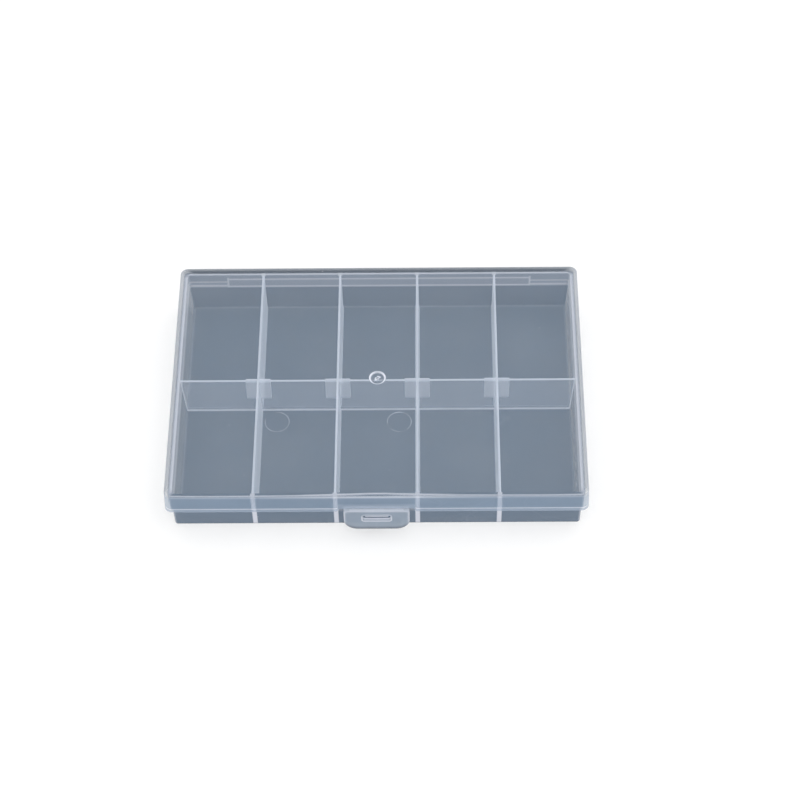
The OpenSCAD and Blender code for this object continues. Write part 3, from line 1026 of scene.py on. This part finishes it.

# %% [markdown]
# ## Plastic, in shared effects
#
# All five plastics are the same milky polypropylene, so their effects are node groups that
# each material uses with its own numbers. *Plastic tone with painted light* mixes the colour
# and opacity of plates and walls, and paints highlights and shade from the glow and shade
# marks. *Fine scratches* and *Dust specks* are the wear. *Frost grain* is the fine texture
# that the mould's steel leaves, and it drives the bump.

# %% Small helpers for node trees
def node(tree, kind, inputs=(), **settings):
    """Adds a node. Its inputs are filled with numbers, or linked where a socket is given."""
    made = tree.nodes.new(kind)
    for key, value in settings.items():
        setattr(made, key, value)
    for key, value in dict(inputs).items():
        if isinstance(value, bpy.types.NodeSocket):
            tree.links.new(value, made.inputs[key])
        else:
            made.inputs[key].default_value = value
    return made


def calc(tree, operation, a, b=0.0, clamp=False):
    return node(tree, "ShaderNodeMath", {0: a, 1: b}, operation=operation,
                use_clamp=clamp).outputs[0]


def times(tree, a, b, clamp=False):
    return calc(tree, "MULTIPLY", a, b, clamp)


def noise(tree, place, scale, detail=2.0):
    return node(tree, "ShaderNodeTexNoise",
                {"Vector": place, "Scale": scale, "Detail": detail}).outputs[0]


def blend_value(tree, share, a, b):
    return node(tree, "ShaderNodeMix", {0: share, 2: a, 3: b}, data_type="FLOAT").outputs[0]


def blend_colour(tree, share, a, b):
    return node(tree, "ShaderNodeMix", {0: share, 6: a, 7: b}, data_type="RGBA").outputs[2]


def new_group(name, inputs, outputs):
    """Shader node group with named sockets."""
    tree = bpy.data.node_groups.new(name, "ShaderNodeTree")
    for label, kind, value in inputs:
        socket = tree.interface.new_socket(label, in_out="INPUT", socket_type=kind)
        socket.default_value = value
    for label, kind in outputs:
        tree.interface.new_socket(label, in_out="OUTPUT", socket_type=kind)
    entry, result = tree.nodes.new("NodeGroupInput"), tree.nodes.new("NodeGroupOutput")
    return tree, entry.outputs, result.inputs


FLOAT, COLOUR = "NodeSocketFloat", "NodeSocketColor"
print("node helpers ready")

# %% Plastic tone with painted light
GREY = (0.5, 0.5, 0.5, 1)
TONES = ("Plate", "Wall", "Glow", "Shade")
tone_group, tone_in, tone_out = new_group(
    "Plastic tone with painted light",
    [(f"{label} Colour", COLOUR, GREY) for label in TONES]
    + [(f"{label} Alpha", FLOAT, 0.5) for label in TONES]
    + [("Glow Amount", FLOAT, 0.65), ("Haze Scale", FLOAT, 40.0), ("Haze Amount", FLOAT, 0.1)],
    [("Colour", COLOUR), ("Alpha", FLOAT), ("Haze", FLOAT)])


def fill_tone():
    tree = tone_group
    place = node(tree, "ShaderNodeTexCoord")
    upright = node(tree, "ShaderNodeSeparateXYZ", {0: place.outputs["Normal"]})
    wall = calc(tree, "SUBTRACT", 1.0, calc(tree, "ABSOLUTE", upright.outputs["Z"]), True)
    wide = node(tree, "ShaderNodeTexNoise", {
        "Vector": place.outputs["Object"], "Scale": tone_in["Haze Scale"], "Detail": 3.0,
        "Roughness": 0.55, "Distortion": 0.8})
    haze = calc(tree, "SUBTRACT", wide.outputs[0], 0.5)
    change = calc(tree, "ADD", 1.0, times(tree, haze, tone_in["Haze Amount"]))
    # The glow and shade attributes mix in painted highlight and painted shade
    glow = times(tree, tone_in["Glow Amount"],
                node(tree, "ShaderNodeAttribute", attribute_name="glow").outputs["Fac"], True)
    shade = node(tree, "ShaderNodeAttribute", attribute_name="shade").outputs["Fac"]
    colour = blend_colour(tree, wall, tone_in["Plate Colour"], tone_in["Wall Colour"])
    cloudy = node(tree, "ShaderNodeVectorMath", {0: colour, 1: (1, 1, 1)},
                  operation="MULTIPLY")
    tree.links.new(node(tree, "ShaderNodeCombineXYZ",
                        {0: change, 1: change, 2: change}).outputs[0], cloudy.inputs[1])
    colour = cloudy.outputs[0]
    alpha = blend_value(tree, wall, tone_in["Plate Alpha"], tone_in["Wall Alpha"])
    alpha = times(tree, alpha, change)
    for label, share in (("Glow", glow), ("Shade", shade)):
        colour = blend_colour(tree, share, colour, tone_in[f"{label} Colour"])
        alpha = blend_value(tree, share, alpha, tone_in[f"{label} Alpha"])
    tree.links.new(colour, tone_out["Colour"])
    tree.links.new(alpha, tone_out["Alpha"])
    tree.links.new(haze, tone_out["Haze"])


fill_tone()
print("Plastic tone with painted light:", len(tone_group.nodes), "nodes")

# %% Fine scratches
LINE_SHARPNESS, PATCH_SCALE, PATCH_SHARPNESS = 90.0, 45.0, 4.0
scratch_group, scratch_in, scratch_out = new_group(
    "Fine scratches", [("Scale", FLOAT, 60.0), ("Amount", FLOAT, 0.5)], [("Mask", FLOAT)])


def fill_scratches():
    """Thin lines where stretched noise crosses one value, in three directions."""
    tree = scratch_group
    place = node(tree, "ShaderNodeTexCoord").outputs["Object"]
    total = 0.0
    for angle, stretch in ((0.4, 28.0), (1.5, 36.0), (2.6, 22.0)):
        turned = node(tree, "ShaderNodeMapping", {"Vector": place, "Rotation": (0, 0, angle),
                                                  "Scale": (1.0, stretch, 1.0)})
        wave = noise(tree, turned.outputs[0], scratch_in["Scale"], 1.0)
        near = calc(tree, "ABSOLUTE", calc(tree, "SUBTRACT", wave, 0.5))
        line = calc(tree, "SUBTRACT", 1.0, times(tree, near, LINE_SHARPNESS), True)
        total = calc(tree, "MAXIMUM", line, total)
    patch = noise(tree, place, PATCH_SCALE)
    worn = times(tree, calc(tree, "SUBTRACT", patch, 0.5, True), PATCH_SHARPNESS, True)
    mask = times(tree, times(tree, total, worn), scratch_in["Amount"])
    tree.links.new(mask, scratch_out["Mask"])


fill_scratches()
print("Fine scratches:", len(scratch_group.nodes), "nodes")

# %% Dust specks
dust_group, dust_in, dust_out = new_group(
    "Dust specks", [("Scale", FLOAT, 260.0), ("Size", FLOAT, 0.06), ("Share", FLOAT, 0.1)],
    [("Mask", FLOAT)])


def fill_dust():
    """A small round speck in a few of the cells of a cell pattern."""
    tree = dust_group
    place = node(tree, "ShaderNodeTexCoord").outputs["Object"]
    cells = node(tree, "ShaderNodeTexVoronoi", {"Vector": place, "Scale": dust_in["Scale"]})
    near = calc(tree, "LESS_THAN", cells.outputs["Distance"], dust_in["Size"])
    drawn = node(tree, "ShaderNodeSeparateColor", {0: cells.outputs["Color"]})
    few = calc(tree, "LESS_THAN", drawn.outputs[0], dust_in["Share"])
    tree.links.new(times(tree, near, few), dust_out["Mask"])


fill_dust()
print("Dust specks:", len(dust_group.nodes), "nodes")

# %% Frost grain
GRAIN_SHARE, RIPPLE_SCALE = 0.03, 90.0
grain_group, grain_in, grain_out = new_group(
    "Frost grain", [("Scale", FLOAT, 4000.0), ("Ripple", FLOAT, 0.3)], [("Height", FLOAT)])


def fill_grain():
    """Fine grain of the mould, over the slow ripple of plastic that shrank as it cooled."""
    tree = grain_group
    place = node(tree, "ShaderNodeTexCoord").outputs["Object"]
    fine = noise(tree, place, grain_in["Scale"])
    slow = noise(tree, place, RIPPLE_SCALE, 1.0)
    height = calc(tree, "ADD", times(tree, fine, GRAIN_SHARE),
                  times(tree, slow, grain_in["Ripple"]))
    tree.links.new(height, grain_out["Height"])


fill_grain()
print("Frost grain:", len(grain_group.nodes), "nodes")

# %% [markdown]
# ## Materials
#
# A plate of this plastic is neither clear nor white. Seen straight on, it lets most light
# through, and seen along its face, the light has a long way to go and turns milky. The
# shader's own Layer Weight node gives that, as it does for glass. Each solid has two faces,
# so the far one, its back face, is left fully clear: then one plate tints the view once.

# %% Helpers for the materials
def use_group(tree, group, inputs):
    """Places a shared effect. Its sockets exist once it knows its group, so they come last."""
    placed = tree.nodes.new("ShaderNodeGroup")
    placed.node_tree = group
    for key, value in inputs.items():
        placed.inputs[key].default_value = value
    return placed


def opaque(colour):
    return (*colour, 1.0)


print("material helpers ready")

# %% Plastic builder
LIGHT_STOPPED, REFRACTION = 0.35, 1.49
HAZE, DUST_SIZE, RIPPLE = (35.0, 0.12), 0.05, 0.35
BUMP, BUMP_DEPTH = 0.08, 0.0001
SCRATCH_SCALE, SCRATCH_SHARE, DUST_SHARE = 40.0, 0.5, 0.35
HAZE_ROUGHNESS, MARK_ROUGHNESS = 0.15, 0.25


def plastic(name, plate, wall, glow, shade, edge_on, roughness, scratches=0.12, gloss=0.3,
            extra=None):
    """Translucent plastic. plate, wall, glow and shade are each (colour, alpha): glow is the
    painted highlight, whose colour also tints the wear marks, and shade is painted shade.
    edge_on says how milky a face gets when it is seen along its plane, and how suddenly."""
    material = bpy.data.materials.new(name)
    material.use_nodes = True
    tree = material.node_tree
    shader = tree.nodes["Principled BSDF"]
    numbers = {"Haze Scale": HAZE[0], "Haze Amount": HAZE[1]}
    for label, (colour, alpha) in zip(TONES, (plate, wall, glow, shade)):
        numbers |= {f"{label} Colour": opaque(colour), f"{label} Alpha": alpha}
    tone = use_group(tree, tone_group, numbers)
    worn = use_group(tree, scratch_group, {"Scale": SCRATCH_SCALE, "Amount": scratches})
    dust = use_group(tree, dust_group, {"Size": DUST_SIZE})
    grain = use_group(tree, grain_group, {"Ripple": RIPPLE})
    marks = calc(tree, "MAXIMUM", times(tree, worn.outputs["Mask"], SCRATCH_SHARE),
                 times(tree, dust.outputs["Mask"], DUST_SHARE))
    if extra:
        marks = calc(tree, "MAXIMUM", marks, extra(tree))
    colour = blend_colour(tree, marks, tone.outputs["Colour"], opaque(glow[0]))
    alpha = blend_value(tree, marks, tone.outputs["Alpha"], glow[1])
    facing = node(tree, "ShaderNodeLayerWeight", {"Blend": 0.5}).outputs["Facing"]
    long_way = times(tree, calc(tree, "POWER", facing, edge_on[1]), edge_on[0])
    alpha = calc(tree, "ADD", alpha,
                 times(tree, long_way, calc(tree, "SUBTRACT", 1.0, alpha)))
    back = node(tree, "ShaderNodeNewGeometry").outputs["Backfacing"]
    alpha = times(tree, alpha, calc(tree, "SUBTRACT", 1.0, back), True)
    seen = node(tree, "ShaderNodeLightPath").outputs["Is Camera Ray"]
    alpha = times(tree, alpha, blend_value(tree, seen, LIGHT_STOPPED, 1.0))
    tree.links.new(colour, shader.inputs["Base Color"])
    tree.links.new(alpha, shader.inputs["Alpha"])
    rough = calc(tree, "ADD", roughness, times(tree, tone.outputs["Haze"], HAZE_ROUGHNESS))
    rough = calc(tree, "ADD", rough, times(tree, marks, MARK_ROUGHNESS), True)
    tree.links.new(rough, shader.inputs["Roughness"])
    rise = node(tree, "ShaderNodeBump", {
        "Strength": BUMP, "Distance": BUMP_DEPTH, "Height": grain.outputs["Height"]})
    tree.links.new(rise.outputs[0], shader.inputs["Normal"])
    shader.inputs["IOR"].default_value = REFRACTION
    shader.inputs["Specular IOR Level"].default_value = gloss
    print(f"{name}: {len(tree.nodes)} nodes")
    return material


print("plastic builder ready")

# %% Ejector rings on the tray's floor
EJECTORS_MM = [(-33.7, -5.5), (7.0, -5.7)]
EJECTOR_R_MM, RING_SHARPNESS = 4.0, 5500.0
BREAK_SCALE, BREAK_LEVEL, BREAK_GAIN = 220.0, 0.42, 2.2


def ejector_rings(tree):
    """Faint rings where round pins pushed the tray out of its mould."""
    place = node(tree, "ShaderNodeTexCoord").outputs["Object"]
    total = 0.0
    for x, y in EJECTORS_MM:
        away = node(tree, "ShaderNodeVectorMath",
                    {0: place, 1: (x * MM, y * MM, FLOOR_Z * MM)}, operation="DISTANCE")
        off = calc(tree, "ABSOLUTE", calc(tree, "SUBTRACT", away.outputs["Value"],
                                          EJECTOR_R_MM * MM))
        ring = calc(tree, "SUBTRACT", 1.0, times(tree, off, RING_SHARPNESS), True)
        total = calc(tree, "MAXIMUM", ring, total)
    broken = noise(tree, place, BREAK_SCALE)
    share = times(tree, calc(tree, "SUBTRACT", broken, BREAK_LEVEL, True), BREAK_GAIN)
    return times(tree, total, share)


print(len(EJECTORS_MM), "ejector rings")

# %% Five plastics
# Painted highlight colour, which also tints scratches, dust and ejector rings, and two painted
# shade colours
HIGHLIGHT_AND_WEAR = (0.80, 0.82, 0.91)
SHADE, DEEP_SHADE = (0.13, 0.155, 0.19), (0.075, 0.095, 0.125)
tray_plastic = plastic(
    "tray_plastic", ((0.081, 0.122, 0.177), 0.92), ((0.108, 0.158, 0.222), 0.985),
    (HIGHLIGHT_AND_WEAR, 0.97), (DEEP_SHADE, 0.97), (0.5, 2.0), 0.24, gloss=0.22, extra=ejector_rings)
divider_plastic = plastic(
    "divider_plastic", ((0.72, 0.84, 1.0), 0.1), ((0.74, 0.83, 0.97), 0.1),
    (HIGHLIGHT_AND_WEAR, 0.95), (SHADE, 0.8), (0.66, 2.0), 0.38, scratches=0.1)
lid_plastic = plastic(
    "lid_plastic", ((0.33, 0.39, 0.47), 0.2), ((0.27, 0.37, 0.5), 0.5),
    (HIGHLIGHT_AND_WEAR, 0.95), (DEEP_SHADE, 0.97), (0.6, 2.5), 0.24)
hinge_plastic = plastic(
    "hinge_plastic", ((0.38, 0.43, 0.5), 0.7), ((0.38, 0.43, 0.5), 0.7),
    (HIGHLIGHT_AND_WEAR, 0.95), (SHADE, 0.8), (0.5, 2.0), 0.36, scratches=0.1)
latch_plastic = plastic(
    "latch_plastic", ((0.38, 0.43, 0.51), 0.95), ((0.27, 0.33, 0.41), 0.95),
    (HIGHLIGHT_AND_WEAR, 0.97), (DEEP_SHADE, 0.95), (0.4, 2.5), 0.34, scratches=0.35)

# %% Floor material
paper = bpy.data.materials.new("studio_paper")
paper.use_nodes = True
paper_shader = paper.node_tree.nodes["Principled BSDF"]
fibres = node(paper.node_tree, "ShaderNodeTexNoise", {"Scale": 300.0, "Detail": 4.0})
pale = blend_colour(paper.node_tree, fibres.outputs[0], (0.93, 0.93, 0.93, 1),
                    (0.96, 0.96, 0.96, 1))
paper.node_tree.links.new(pale, paper_shader.inputs["Base Color"])
paper_shader.inputs["Roughness"].default_value = 0.9
paper_shader.inputs["Specular IOR Level"].default_value = 0.2
floor_mesh.materials.append(paper)
print("studio paper ready")

# %% Dress the pieces
SLOT_MATERIALS = {"tray_plastic": tray_plastic, "divider_plastic": divider_plastic,
                  "lid_plastic": lid_plastic, "hinge_plastic": hinge_plastic,
                  "latch_plastic": latch_plastic}
dressed = [o for o in scene.objects if "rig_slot" in o]
for piece in dressed:
    piece.data.materials.clear()
    piece.data.materials.append(SLOT_MATERIALS[piece["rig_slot"]])
print("dressed", len(dressed), "pieces")
